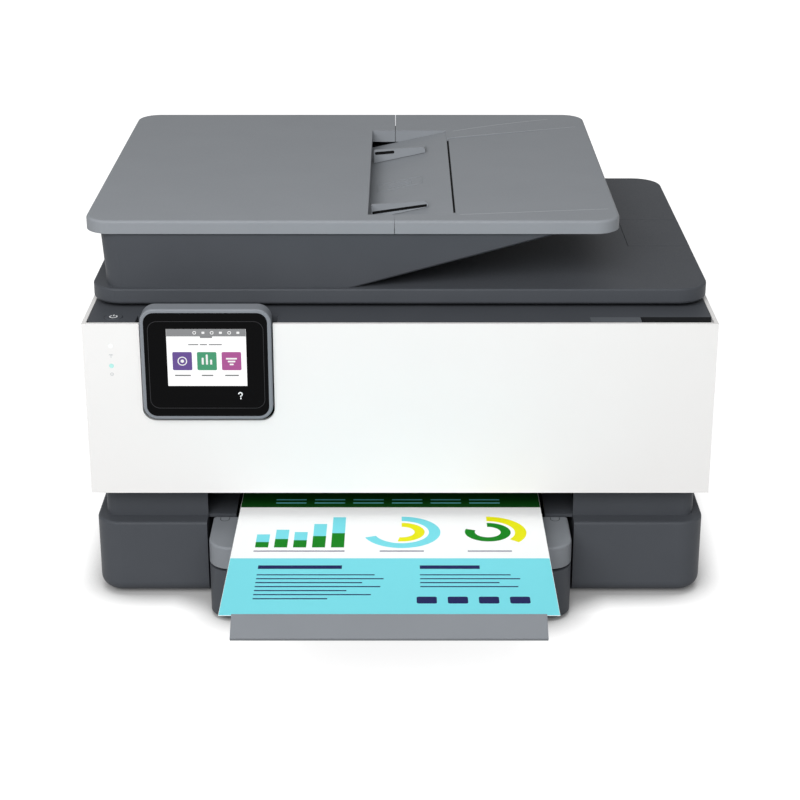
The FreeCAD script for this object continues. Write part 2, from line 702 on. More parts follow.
def bed_cuts(extra):
    """Front notches of the scanner bed: behind the panel and for the fingers."""
    panel = block(grow((PANEL_LEFT, PANEL_RIGHT), RUN + PANEL_EAR + SEAM + extra),
                  (BED_FRONT - WALL, PANEL_BAY_REAR + extra), (BED_BOTTOM - WALL, STRIP_TOP + WALL))
    finger = block((BED_HALF - FINGER_WIDTH - extra, BED_HALF + WALL),
                   (BED_FRONT - WALL, FINGER_REAR + extra),
                   (SKIRT_BOTTOM, STRIP_TOP + WALL))
    return panel, finger


def side_skirts():
    """Bars of the top frame that reach down on to the tub's lowered side walls, behind the front skirt."""
    bars = []
    for x in ((-BED_HALF, WALL - BED_HALF), (BED_HALF - WALL, BED_HALF)):
        bars.append(block(x, (SKIRT_REAR, SIDE_SKIRT_REAR), (SKIRT_BOTTOM, STRIP_TOP - BED_TOP_THICK)))
    return bars


def scanner_base():
    top = STRIP_TOP - BED_TOP_THICK
    sides = (-BED_HALF, BED_HALF)
    depth = (BED_FRONT, CASE_REAR)
    tub = plate(sides, depth, (BED_BOTTOM, top), BED_CORNER)
    inner = plate(grow(sides, -WALL), grow(depth, -WALL), (BED_BOTTOM + WALL, top), BED_CORNER - WALL)
    shelf_left = BED_HALF - FINGER_WIDTH - WALL
    shelf = block((shelf_left, BED_HALF), (BED_FRONT, SKIRT_REAR), (SKIRT_BOTTOM - WALL, SKIRT_BOTTOM))
    tub = tub.cut(inner.cut(bed_cuts(WALL)[0]).cut(shelf)).cut(bed_cuts(0)[0])
    tub = tub.cut(block(grow(sides, WALL), (0, SKIRT_REAR), (SKIRT_BOTTOM, STRIP_TOP)))
    for bar in side_skirts():
        tub = tub.cut(bar)
    slot_left = -BED_HALF + CABLE_SLOT_INSET
    slot_rear = CASE_REAR - CABLE_SLOT_BACK
    tub = tub.cut(block((slot_left, slot_left + CABLE_SLOT_WIDTH), (slot_rear - CABLE_SLOT_DEPTH, slot_rear),
                        (BED_BOTTOM, BED_BOTTOM + WALL)))
    middle = GLASS_FRONT + GLASS_WIDTH / 2
    rail = block(grow(sides, -WALL), grow((middle, middle), SCAN_RAIL / 2),
                 (BED_BOTTOM + WALL, BED_BOTTOM + WALL + SCAN_RAIL))
    return tub.fuse(rail).removeSplitter()


def glass_spans():
    """Left and right edges of the bed glass and of the feeder's strip glass."""
    strip = GLASS_LEFT - STRIP_GAP
    return (GLASS_LEFT, GLASS_LEFT + GLASS_LENGTH), (strip - STRIP_GLASS, strip)


def scanner_top():
    bottom = STRIP_TOP - BED_TOP_THICK
    sides = (-BED_HALF, BED_HALF)
    hang = (SKIRT_BOTTOM, bottom)
    top = plate(sides, (BED_FRONT, CASE_REAR), (bottom, STRIP_TOP), BED_CORNER)
    skirt = plate(sides, (BED_FRONT, CASE_REAR), hang, BED_CORNER)
    skirt = skirt.common(block(sides, (BED_FRONT, SKIRT_REAR), hang))
    hollow = plate(grow(sides, -WALL), (BED_FRONT + WALL, CASE_REAR), hang, BED_CORNER - WALL)
    skirt = skirt.cut(hollow.cut(bed_cuts(WALL)[0]).cut(bed_cuts(WALL)[1]))
    for bar in side_skirts():
        skirt = skirt.fuse(bar)
    top = top.fuse(skirt).cut(bed_cuts(0)[0]).cut(bed_cuts(0)[1])
    depth = (GLASS_FRONT, GLASS_FRONT + GLASS_WIDTH)
    for span in glass_spans():
        top = top.cut(block(grow(span, SEAM), grow(depth, SEAM), (GLASS_TOP - GLASS_THICK, STRIP_TOP + WALL)))
        top = top.cut(block(grow(span, -GLASS_LEDGE), grow(depth, -GLASS_LEDGE), (bottom, STRIP_TOP)))
    button = (-HALF + BUTTON_INSET, BUTTON_Y)
    top = top.cut(rod(button + (bottom,), button + (STRIP_TOP,), BUTTON_RADIUS + BUTTON_GAP))
    for x in (-HINGE_X, HINGE_X):
        post = eye(grow((x, x), HINGE_ARM / 2 + RUN + HINGE_CHEEK), HINGE_Y, HINGE_Z, HINGE_EYE,
                   ((HINGE_Y - HINGE_EYE, STRIP_TOP), (HINGE_Y + HINGE_EYE, STRIP_TOP)))
        post = post.cut(block(grow((x, x), HINGE_ARM / 2 + RUN), grow((HINGE_Y, HINGE_Y), 2 * HINGE_EYE),
                              (STRIP_TOP, HINGE_Z + 2 * HINGE_EYE)))
        reach = HINGE_ARM / 2 + RUN + HINGE_CHEEK
        post = post.cut(rod((x - reach, HINGE_Y, HINGE_Z), (x + reach, HINGE_Y, HINGE_Z), HINGE_PIN + FIT))
        top = top.fuse(post)
    return top.removeSplitter()


def platen_glass():
    panes = []
    for span in glass_spans():
        panes.append(block(span, (GLASS_FRONT, GLASS_FRONT + GLASS_WIDTH),
                           (GLASS_TOP - GLASS_THICK, GLASS_TOP)))
    return panes


def power_button():
    x = -HALF + BUTTON_INSET
    low = STRIP_TOP - BED_TOP_THICK - SEAM
    cap = rod((x, BUTTON_Y, low), (x, BUTTON_Y, STRIP_TOP + BUTTON_PROUD), BUTTON_RADIUS)
    cap = bevelled(cap, BUTTON_PROUD, level(STRIP_TOP + BUTTON_PROUD))
    flange = rod((x, BUTTON_Y, low - WALL), (x, BUTTON_Y, low), BUTTON_FLANGE)
    return cap.fuse(flange).removeSplitter()


def scan_bar():
    span = glass_spans()[1]
    middle = (span[0] + span[1]) / 2
    top = GLASS_TOP - GLASS_THICK - (BED_TOP_THICK - GLASS_THICK) - SEAM
    ends = grow((GLASS_FRONT, GLASS_FRONT + GLASS_WIDTH), -GLASS_LEDGE)
    width = grow((middle, middle), SCAN_BAR_WIDTH / 2)
    bar = block(width, ends, (top - SCAN_BAR_HEIGHT, top))
    bar = rounded(bar, WALL,
                  lambda e: e.BoundBox.YLength > SCAN_BAR_WIDTH * 2 and e.BoundBox.ZMin < top - WALL)
    rail = BED_BOTTOM + WALL
    centre = GLASS_FRONT + GLASS_WIDTH / 2
    shoe = block(width, grow((centre, centre), SCAN_RAIL), (rail + RUN, top - WALL))
    shoe = shoe.cut(block(grow(width, WALL), grow((centre, centre), SCAN_RAIL / 2 + RUN),
                          (rail, rail + SCAN_RAIL + RUN)))
    return bar.fuse(shoe).removeSplitter()


# Scanner lid


def stop_pocket():
    right = HALF - LID_INSET
    return (right - STOP_LENGTH, right), (STOP_FRONT, STOP_FRONT + STOP_WIDTH)


def scan_lid():
    half = HALF - LID_INSET
    depth = (LID_FRONT, LID_REAR)
    lid = plate((-half, half), depth, (LID_BOTTOM, LID_TOP), LID_CORNER)
    lid = rounded(lid, WALL, level(LID_BOTTOM))
    lid = rounded(lid, WALL / 2, level(LID_TOP))
    hollow = plate(grow((-half, half), -LID_SHELL), grow(depth, -LID_SHELL),
                   (LID_BOTTOM, LID_TOP - STOP_THICK - 2 * WALL), LID_CORNER - LID_SHELL)
    lid = lid.cut(hollow)
    x, y = stop_pocket()
    axis_x = x[1] - STOP_THICK
    axis_z = LID_TOP - STOP_THICK / 2
    lid = lid.cut(block(grow(x, SEAM), grow(y, SEAM), (LID_TOP - STOP_THICK - SEAM, LID_TOP + WALL)))
    lid = lid.cut(block((axis_x - STOP_THICK, x[1] + SEAM), grow(y, SEAM),
                        (LID_TOP - 2 * STOP_THICK, LID_TOP)))
    lid = lid.cut(rod((axis_x, y[0] - 2 * WALL, axis_z), (axis_x, y[1] + 2 * WALL, axis_z), STOP_PIN + FIT))
    for x in (-HINGE_X, HINGE_X):
        arm = eye(grow((x, x), HINGE_ARM / 2), HINGE_Y, HINGE_Z, HINGE_EYE - SEAM,
                  ((LID_REAR - LID_SHELL, LID_BOTTOM + WALL), (LID_REAR - LID_SHELL, LID_TOP - WALL)))
        reach = HINGE_ARM / 2 + RUN + HINGE_CHEEK
        pin = rod((x - reach, HINGE_Y, HINGE_Z), (x + reach, HINGE_Y, HINGE_Z), HINGE_PIN)
        lid = lid.fuse([arm, pin])
    return lid.removeSplitter()


def lid_pad():
    ceiling = LID_TOP - STOP_THICK - 2 * WALL
    left = glass_spans()[1][0]
    right = glass_spans()[0][1]
    return plate(grow((left, right), PAD_MARGIN), grow((GLASS_FRONT, GLASS_FRONT + GLASS_WIDTH), PAD_MARGIN),
                 (STRIP_TOP + PAD_CLEAR, ceiling), WALL)


def paper_stop():
    x, y = stop_pocket()
    axis_x = x[1] - STOP_THICK
    axis_z = LID_TOP - STOP_THICK / 2
    flap = block(x, y, (LID_TOP - STOP_THICK, LID_TOP))
    flap = rounded(flap, STOP_ROUND, lambda e: e.BoundBox.XMin > x[1] - 0.001 and e.BoundBox.YLength > WALL)
    pin = rod((axis_x, y[0] - 2 * WALL, axis_z), (axis_x, y[1] + 2 * WALL, axis_z), STOP_PIN)
    return flap.fuse(pin).removeSplitter()


# Document feeder


def feeder_loft(inset, lift):
    """Flared body of the feeder, moved in by an inset and started a lift higher."""
    foot = outline(grow((-HALF + FEEDER_FOOT_INSET, FEEDER_FOOT_RIGHT), -inset),
                   grow((FEEDER_FOOT_FRONT, FEEDER_FOOT_REAR), -inset), LID_TOP + lift,
                   FEEDER_CORNER - inset, FEEDER_CORNER - inset)
    head = outline(grow((-HALF + FEEDER_HEAD_INSET, FEEDER_HEAD_RIGHT), -inset),
                   grow((FEEDER_HEAD_FRONT, FEEDER_HEAD_REAR), -inset), FEEDER_TOP,
                   FEEDER_CORNER - inset, FEEDER_CORNER - inset)
    return Part.makeLoft([foot, head], True, True)


def cover_axis():
    """X and Z of the feeder cover's hinge."""
    return -HALF + COVER_AXIS_INSET, FEEDER_TOP - COVER_AXIS_DROP


def feeder_base():
    base = feeder_loft(0, 0)
    inside = feeder_loft(WALL, WALL)
    base = base.cut(inside)
    slot = block((FEEDER_FOOT_RIGHT - 6 * WALL, FEEDER_HEAD_RIGHT), (EXIT_SLOT_FRONT, EXIT_SLOT_REAR),
                 (LID_TOP + WALL, LID_TOP + EXIT_SLOT_HEIGHT))
    base = base.cut(slot)
    axis_x, axis_z = cover_axis()
    reach = 3 * WALL
    for face, turn in ((FEEDER_HEAD_FRONT, 1), (FEEDER_HEAD_REAR, -1)):
        boss = rod((axis_x, face, axis_z), (axis_x, face + turn * reach, axis_z), COVER_PIN + WALL / 2)
        boss = boss.common(inside)
        bore = rod((axis_x, face + turn * (WALL + COVER_SKIN), axis_z),
                   (axis_x, face + turn * reach, axis_z), COVER_PIN + FIT)
        base = base.fuse(boss).cut(bore)
    for x, z in ((PICK_X, pick_z()), (TURN_X, LID_TOP + TURN_RISE)):
        for face, turn in ((FEEDER_FOOT_FRONT, 1), (FEEDER_FOOT_REAR, -1)):
            boss = rod((x, face - turn * 2 * WALL, z), (x, face + turn * 2 * WALL, z), SHAFT_RADIUS + WALL)
            bore = rod((x, face, z), (x, face + turn * 2 * WALL, z), SHAFT_RADIUS + FIT)
            base = base.fuse(boss.common(inside)).cut(bore.common(inside))
    return base.removeSplitter()


def pick_z():
    """Height of the feeder's pick roller above its chute."""
    return chute_z(PICK_X) + PICK_RADIUS + 2 * RUN


def feeder_cover():
    depth = (COVER_FRONT, COVER_REAR)
    cover = plate((-HALF, COVER_RAIL_RIGHT), depth, (FEEDER_TOP, TOP), COVER_CORNER, COVER_CORNER)
    square = block((COVER_RIGHT - COVER_CORNER, COVER_RAIL_RIGHT), depth, (FEEDER_TOP, TOP))
    cover = cover.fuse(square).removeSplitter()
    cover = rounded(cover, COVER_EDGE, lambda e: level(TOP)(e) and e.BoundBox.XMin < COVER_RAIL_RIGHT - 0.001)
    cover = cover.cut(block((COVER_RIGHT, TRAY_RIGHT), (CHUTE_FRONT, CHUTE_REAR),
                            grow((FEEDER_TOP, TOP), WALL)))
    hollow = plate((-HALF + WALL, COVER_RIGHT - WALL), grow(depth, -WALL), (FEEDER_TOP, TOP - WALL),
                   COVER_CORNER - WALL)
    cover = cover.cut(hollow)
    axis_x, axis_z = cover_axis()
    swing = plate((-HALF + WALL, axis_x + 2 * COVER_CORNER), grow(depth, -COVER_RIM),
                  (FEEDER_TOP, TOP - WALL),
                  COVER_CORNER - COVER_RIM)
    cover = cover.cut(swing.common(block((-HALF, axis_x + 2 * WALL), depth, (FEEDER_TOP, TOP))))
    for face, turn in ((FEEDER_HEAD_FRONT, 1), (FEEDER_HEAD_REAR, -1)):
        near = face + turn * (3 * WALL + RUN)
        far = near + turn * COVER_LUG
        lug = rod((axis_x, near, axis_z), (axis_x, far, axis_z), COVER_PIN + WALL / 2)
        web = block((axis_x, axis_x + 2 * COVER_PIN + WALL), sorted((near, far)), (axis_z, TOP - WALL))
        pin = rod((axis_x, face + turn * (WALL + COVER_SKIN + RUN), axis_z), (axis_x, near, axis_z),
                  COVER_PIN)
        cover = cover.fuse([lug, web, pin])
    return cover.removeSplitter()


def feeder_tray():
    left = COVER_RAIL_RIGHT + SEAM
    depth = (COVER_FRONT, COVER_REAR)
    tray = plate((left, TRAY_RIGHT), depth, (FEEDER_TOP, TOP), COVER_CORNER, COVER_CORNER)
    square = block((left, left + COVER_CORNER), depth, (FEEDER_TOP, TOP))
    tray = tray.fuse(square).removeSplitter()
    tray = rounded(tray, COVER_EDGE, lambda e: level(TOP)(e) and e.BoundBox.XMax > left + 0.001)
    hollow = block((CHUTE_START + 4 * WALL, TRAY_RIGHT - WALL - COVER_CORNER), grow(depth, -COVER_CORNER),
                   (FEEDER_TOP + WALL, TOP - WALL))
    tray = tray.cut(hollow)
    tray = tray.cut(block((left - WALL, CHUTE_START), (CHUTE_FRONT, CHUTE_REAR),
                          grow((FEEDER_TOP, TOP), WALL)))
    line = [(CHUTE_START, chute_z(CHUTE_START)), (CHUTE_END, chute_z(CHUTE_END)),
            (CHUTE_END, chute_z(CHUTE_END) - WALL), (CHUTE_START, chute_z(CHUTE_START) - 2 * WALL)]
    tray = tray.fuse(along_y(line, (CHUTE_FRONT + RUN, CHUTE_REAR - RUN)))
    edge = CHUTE_START + GROOVE_WIDTH
    sides = [(edge, CHUTE_FRONT), (TRAY_RIGHT, 2 * CHUTE_FRONT - COVER_FRONT),
             (TRAY_RIGHT, CHUTE_REAR + CHUTE_FRONT - COVER_FRONT), (edge, GROOVE_REAR)]
    dish = [V(x, y, TOP - DISH_SINK * (TRAY_RIGHT - x) / (TRAY_RIGHT - edge)) for x, y in sides]
    dish = Part.Face(Part.makePolygon(dish + dish[:1])).extrude(V(0, 0, COVER_HEIGHT))
    tray = tray.cut(dish)
    tray = tray.cut(block((CHUTE_START, edge), (GROOVE_FRONT, GROOVE_REAR), (TOP - WALL, TOP + WALL)))
    return tray.removeSplitter()


def feeder_guide(side):
    """Document guide at the front (-1) or the back (1) of the chute."""
    inner = GUIDE_CENTRE + side * GUIDE_GAP / 2
    right = GUIDE_LEFT + GUIDE_LENGTH
    foot = [(GUIDE_LEFT, chute_z(GUIDE_LEFT) + GUIDE_LIFT), (right, chute_z(right) + GUIDE_LIFT)]
    head = [(right, chute_z(right) + GUIDE_LIFT + WALL), (right - GUIDE_WALL, TOP),
            (GUIDE_LEFT, chute_z(GUIDE_LEFT) + GUIDE_HEIGHT)]
    guide = along_y(foot + head, sorted((inner, inner + side * GUIDE_WALL)))
    if side > 0:
        step = [(right, chute_z(right) + GUIDE_LIFT + GUIDE_WALL),
                (GUIDE_LEFT, chute_z(GUIDE_LEFT) + GUIDE_STEP)]
        wing = along_y(foot + step, (inner, inner + GUIDE_BLOCK))
        grip = block((GUIDE_LEFT + GUIDE_WALL, right - GUIDE_LENGTH / 2),
                     (inner + 2 * GUIDE_WALL, inner + 3 * GUIDE_WALL),
                     (chute_z(GUIDE_LEFT) + 2 * GUIDE_WALL, TOP))
        guide = guide.fuse(wing).cut(grip)
    return guide.removeSplitter()


def feeder_pick_roller():
    z = pick_z()
    shaft = rod((PICK_X, FEEDER_FOOT_FRONT + WALL / 2, z), (PICK_X, FEEDER_FOOT_REAR - WALL / 2, z),
                SHAFT_RADIUS)
    tyres = []
    for shift in (-1, 1):
        y = GUIDE_CENTRE + shift * TYRE_WIDTH
        tyres.append(rod((PICK_X, y - TYRE_WIDTH / 2, z), (PICK_X, y + TYRE_WIDTH / 2, z), PICK_RADIUS))
    return shaft.fuse(tyres).removeSplitter()


def feeder_turn_roller():
    z = LID_TOP + TURN_RISE
    shaft = rod((TURN_X, FEEDER_FOOT_FRONT + WALL / 2, z), (TURN_X, FEEDER_FOOT_REAR - WALL / 2, z),
                SHAFT_RADIUS)
    drums = []
    for step in range(4):
        y = CHUTE_FRONT + TYRE_WIDTH + step * (CHUTE_REAR - CHUTE_FRONT - 2 * TYRE_WIDTH) / 3
        drums.append(rod((TURN_X, y - TYRE_WIDTH / 2, z), (TURN_X, y + TYRE_WIDTH / 2, z), TURN_RADIUS))
    return shaft.fuse(drums).removeSplitter()


# Paper cassette and output tray


def cassette():
    sides = grow((PATH_X, PATH_X), TRAY_HALF)
    depth = (TRAY_FRONT, CASSETTE_REAR)
    tub = plate(sides, depth, (CASSETTE_BOTTOM, CASSETTE_TOP), TRAY_CORNER, WALL)
    apron = plate(sides, (TRAY_FRONT, LOWER_FRONT - WALL), (CASSETTE_APRON, CASSETTE_BOTTOM),
                  TRAY_CORNER, WALL)
    tub = tub.fuse(apron).removeSplitter()
    hollow = plate(grow(sides, -WALL), grow(depth, -WALL), (CASSETTE_FLOOR, CASSETTE_TOP),
                   TRAY_CORNER - WALL, WALL)
    grip = grow((PATH_X, PATH_X), HANDLE_HALF)
    hollow = hollow.cut(block(grow(grip, WALL), (TRAY_FRONT, TRAY_FRONT + HANDLE_DEPTH + WALL),
                              (CASSETTE_FLOOR, HANDLE_HIGH + WALL)))
    tub = tub.cut(hollow)
    pull = block(grip, (TRAY_FRONT - WALL, TRAY_FRONT + HANDLE_DEPTH), (HANDLE_LOW, HANDLE_HIGH))
    pull = rounded(pull, HANDLE_DEPTH / 2, lambda e: e.BoundBox.YMin > TRAY_FRONT + HANDLE_DEPTH - 0.001
                   and e.BoundBox.ZLength < 0.001)
    tub = tub.cut(pull)
    rear = grow((CASSETTE_REAR, CASSETTE_REAR), 2 * WALL)
    tub = tub.cut(block(grow(sides, -3 * WALL), rear, (CASSETTE_BOTTOM + CASSETTE_SILL, CASSETTE_TOP)))
    tub = tub.cut(block(grow((PATH_X, PATH_X), PICK_HALF + 4 * WALL), rear, (CASSETTE_FLOOR, CASSETTE_TOP)))
    for side in (-1, 1):
        edge = PATH_X + side * TRAY_HALF
        runner = block(sorted((edge - side * WALL / 2, edge + side * (TUNNEL_GAP - RUN))),
                       (LOWER_FRONT + LOWER_CORNER, CASSETTE_REAR - LOWER_CORNER),
                       (CASSETTE_BOTTOM + 2 * WALL, CASSETTE_BOTTOM + 4 * WALL))
        tub = tub.fuse(runner)
    return tub.removeSplitter()


def side_guide(side):
    """Width guide for the stack, left (-1) or right (1)."""
    face = PATH_X + side * SIDE_GUIDE_GAP / 2
    low = CASSETTE_FLOOR + STOCK_GUIDE_LIFT
    wall = block(sorted((face, face + side * WALL)), (SIDE_GUIDE_FRONT, SIDE_GUIDE_REAR),
                 (low, low + STOCK_GUIDE_HEIGHT))
    wall = rounded(wall, STOCK_GUIDE_HEIGHT / 3,
                   lambda e: e.BoundBox.XLength > WALL / 2 and e.BoundBox.YLength < 0.001
                   and e.BoundBox.ZMin > low + WALL)
    foot = block(sorted((face + side * WALL, face + side * SIDE_GUIDE_FOOT)),
                 (SIDE_GUIDE_FRONT, SIDE_GUIDE_REAR), (low, low + WALL))
    ribs = []
    for y in (SIDE_GUIDE_FRONT + 8 * WALL, SIDE_GUIDE_REAR - 9 * WALL):
        start = face + side * WALL
        ribs.append(along_y([(start, low), (start + side * SIDE_GUIDE_FOOT / 2, low),
                             (start, low + STOCK_GUIDE_HEIGHT / 2)], (y, y + WALL)))
    return wall.fuse([foot] + ribs).removeSplitter()


def end_guide():
    low = CASSETTE_FLOOR + STOCK_GUIDE_LIFT
    x = grow((PATH_X, PATH_X), END_GUIDE_HALF)
    rear = END_GUIDE_FRONT + WALL
    wall = block(x, (END_GUIDE_FRONT, rear), (low, low + STOCK_GUIDE_HEIGHT))
    wall = rounded(wall, STOCK_GUIDE_HEIGHT / 3,
                   lambda e: e.BoundBox.YLength > WALL / 2 and e.BoundBox.XLength < 0.001
                   and e.BoundBox.ZMin > low + WALL)
    foot = block(x, (rear, rear + END_GUIDE_FOOT), (low, low + WALL / 2))
    return wall.fuse(foot).removeSplitter()


def output_tray():
    sides = grow((PATH_X, PATH_X), TRAY_HALF)
    depth = (TRAY_FRONT, ARM_REAR)
    cap = plate(sides, depth, (ARM_BOTTOM, ARM_TOP), TRAY_CORNER, WALL)
    cap = rounded(cap, ARM_EDGE, lambda e: level(ARM_TOP)(e) and e.BoundBox.YMin < ARM_REAR - WALL - 0.001)
    cap = cap.cut(plate(grow(sides, -WALL), grow(depth, -WALL), (ARM_BOTTOM, ARM_TOP - WALL),
                        TRAY_CORNER - WALL, WALL))
    for side in (-1, 1):
        edge = PATH_X + side * (TRAY_HALF - WALL)
        foot = block(sorted((edge, edge - side * WALL)), (TRAY_FRONT + TRAY_CORNER, ARM_REAR - WALL),
                     (CASSETTE_TOP, ARM_TOP - WALL))
        ledge = block(sorted((edge + side * WALL / 2, edge - side * WALL)),
                      (TRAY_FRONT + TRAY_CORNER, ARM_REAR - WALL), (CASSETTE_TOP, ARM_BOTTOM))
        cap = cap.fuse([foot, ledge])
    bed = EXTENDER_HALF + EXTENDER_SIDE
    top = -EXTENDER_THICK - RUN
    deck = sloped(grow((PATH_X, PATH_X), bed + WALL), (TRAY_FRONT, DECK_REAR), top, top - WALL)
    cap = cap.fuse(deck)
    for side in (-1, 1):
        x = sorted((PATH_X + side * bed, PATH_X + side * (bed + WALL)))
        rail = sloped(x, (TRAY_FRONT, DECK_REAR), -RUN, top - WALL)
        low = [(TRAY_FRONT, ARM_TOP - WALL), (ARM_REAR, ARM_TOP - WALL)]
        high = [(ARM_REAR, sheet_z(ARM_REAR) - RUN), (TRAY_FRONT, sheet_z(TRAY_FRONT) - RUN)]
        cap = cap.fuse([rail, along_x(low + high, x)])
    brow = block(grow((PATH_X, PATH_X), bed + WALL), (TRAY_FRONT, TRAY_FRONT + WALL),
                 (ARM_TOP - ARM_EDGE - WALL, sheet_z(TRAY_FRONT) - EXTENDER_THICK - RUN - WALL / 2))
    return cap.fuse(brow).removeSplitter()


def output_extender():
    x = grow((PATH_X, PATH_X), EXTENDER_HALF)
    slope = math.radians(LIP_ANGLE)
    run = V(0, -math.cos(slope), -math.sin(slope))
    back = V(0, math.sin(slope), -math.cos(slope)) * LIP_THICK
    head = V(0, LIP_TOP[0], LIP_TOP[1])
    toe = head + run * LIP_LENGTH
    ring = [head, toe, toe + back, head + back]
    lip = along_x([(p.y, p.z) for p in ring], x)
    deck = sloped(x, (LIP_TOP[0], EXTENDER_REAR), 0, -EXTENDER_THICK)
    above = [(LIP_TOP[0] - LIP_LENGTH, TOP), (head.y, TOP), (head.y, head.z), (toe.y, toe.z),
             (LIP_TOP[0] - LIP_LENGTH, toe.z)]
    return deck.cut(along_x(above, grow(x, WALL))).fuse(lip).removeSplitter()


def printed_sheet():
    rear = SHEET_FRONT + SHEET_LENGTH * math.cos(math.atan(SHEET_SLOPE))
    return sloped(grow((PATH_X, PATH_X), SHEET_WIDTH / 2), (SHEET_FRONT, rear), SHEET_THICK, 0)


# Print engine


def gear(teeth, y, z, bore, turn):
    """Spur gear with involute flanks on an X axis, one tooth at an angle from +Y towards +Z."""
    pitch = MODULE * teeth / 2
    base = pitch * math.cos(math.radians(PRESSURE_ANGLE))
    tip = pitch + TOOTH_TIP * MODULE
    root = pitch - TOOTH_ROOT * MODULE

    def involute(r):
        angle = math.acos(min(1.0, base / r))
        return math.tan(angle) - angle

    half = math.pi / (2 * teeth) - BACKLASH / (2 * pitch) + involute(pitch)
    start = max(root, base)
    radii = [root] + [start + (tip - start) * k / 3 for k in range(4)]
    points = []
    for tooth in range(teeth):
        middle = turn + 2 * math.pi * tooth / teeth
        flank = [(r, half - involute(max(r, base))) for r in radii]
        for r, angle in [(r, -a) for r, a in flank] + flank[::-1]:
            points.append((y + r * math.cos(middle + angle), z + r * math.sin(middle + angle)))
    wheel = along_x(points, (GEAR_LEFT, GEAR_RIGHT))
    if bore > 0:
        wheel = wheel.cut(rod((GEAR_LEFT, y, z), (GEAR_RIGHT, y, z), bore))
    return wheel


def print_chassis():
    height = (FLOOR, CHASSIS_TOP)
    depth = (CHASSIS_FRONT, CHASSIS_REAR)
    left = block((PLATE_LEFT, PLATE_LEFT + CHASSIS_SHEET), depth, height)
    right = block((PLATE_RIGHT - CHASSIS_SHEET, PLATE_RIGHT), depth, height)
    between = (PLATE_LEFT, PLATE_RIGHT)
    beam = block(between, (CHASSIS_BEAM_Y, CHASSIS_BEAM_Y + CHASSIS_SHEET),
                 (CHASSIS_TOP - CHASSIS_BEAM_HEIGHT, CHASSIS_TOP))
    flange = block(between, (CHASSIS_BEAM_Y - CHASSIS_FLANGE, CHASSIS_BEAM_Y),
                   (CHASSIS_TOP - CHASSIS_SHEET, CHASSIS_TOP))
    shelf_z = (BELT_Z - SHELF_DROP - CHASSIS_SHEET, BELT_Z - SHELF_DROP)
    shelves = []
    for x in pulley_xs():
        edge = sorted((PLATE_LEFT if x < 0 else PLATE_RIGHT, x + (SHELF_HALF if x < 0 else -SHELF_HALF)))
        shelves.append(block(edge, (BELT_Y - PULLEY_RADIUS - WALL, CHASSIS_BEAM_Y), shelf_z))
    frame = left.fuse([right, beam, flange] + shelves)
    for y, z, r in ((ROD_Y, ROD_Z, ROD_RADIUS), (FEED_Y, ROLLER_Z, SHAFT_RADIUS),
                    (EXIT_Y, ROLLER_Z, SHAFT_RADIUS)):
        frame = frame.cut(rod((PLATE_LEFT - WALL, y, z), (PLATE_RIGHT + WALL, y, z), r + FIT))
    frame = frame.cut(rod((PLATE_LEFT - WALL, PINION_Y, PINION_Z),
                          (PLATE_LEFT + WALL, PINION_Y, PINION_Z), SHAFT_RADIUS + FIT))
    frame = frame.cut(rod((pulley_xs()[0], BELT_Y, shelf_z[0]), (pulley_xs()[0], BELT_Y, shelf_z[1]),
                          SHAFT_RADIUS + FIT))
    stub = rod((GEAR_LEFT - WALL, IDLER_Y, ROLLER_Z), (PLATE_LEFT, IDLER_Y, ROLLER_Z), SHAFT_RADIUS)
    post = rod((pulley_xs()[1], BELT_Y, shelf_z[0]),
               (pulley_xs()[1], BELT_Y, BELT_Z + BELT_HEIGHT + WALL), SHAFT_RADIUS)
    return frame.fuse([stub, post]).removeSplitter()


def pulley_xs():
    return PLATE_LEFT + PULLEY_INSET, PLATE_RIGHT - PULLEY_INSET


def carriage_rod():
    return rod((PLATE_LEFT, ROD_Y, ROD_Z), (PLATE_RIGHT, ROD_Y, ROD_Z), ROD_RADIUS)


def drive_belt():
    left, right = pulley_xs()
    outer = PULLEY_RADIUS + RUN + BELT_THICK
    height = (BELT_Z, BELT_Z + BELT_HEIGHT)
    loop = plate((left - outer, right + outer), grow((BELT_Y, BELT_Y), outer), height, outer - 0.001)
    inner = PULLEY_RADIUS + RUN
    return loop.cut(plate((left - inner, right + inner), grow((BELT_Y, BELT_Y), inner), height,
                          inner - 0.001))


def pulley(x, low, bore):
    rim = rod((x, BELT_Y, BELT_Z), (x, BELT_Y, BELT_Z + BELT_HEIGHT), PULLEY_RADIUS)
    hub = rod((x, BELT_Y, low), (x, BELT_Y, BELT_Z + BELT_HEIGHT + WALL / 2), SHAFT_RADIUS)
    if bore:
        hub = rod((x, BELT_Y, low), (x, BELT_Y, BELT_Z), SHAFT_RADIUS + WALL / 2)
        return rim.fuse(hub).cut(rod((x, BELT_Y, low), (x, BELT_Y, BELT_Z + BELT_HEIGHT), SHAFT_RADIUS + FIT))
    return rim.fuse(hub).removeSplitter()


def drive_pulley():
    return pulley(pulley_xs()[0], BELT_Z - SHELF_DROP - CHASSIS_SHEET, False)


def idler_pulley():
    return pulley(pulley_xs()[1], BELT_Z - SHELF_DROP + RUN, True)


def carriage_motor():
    x = pulley_xs()[0]
    high = BELT_Z - SHELF_DROP - CHASSIS_SHEET
    left = PLATE_LEFT + CHASSIS_SHEET
    reach = min(MOTOR_RADIUS, x - left)
    can = rod((x, BELT_Y, high - CARRIAGE_MOTOR_LENGTH), (x, BELT_Y, high), reach)
    return can.cut(rod((x, BELT_Y, high - SHELF_DROP), (x, BELT_Y, high), SHAFT_RADIUS + FIT))


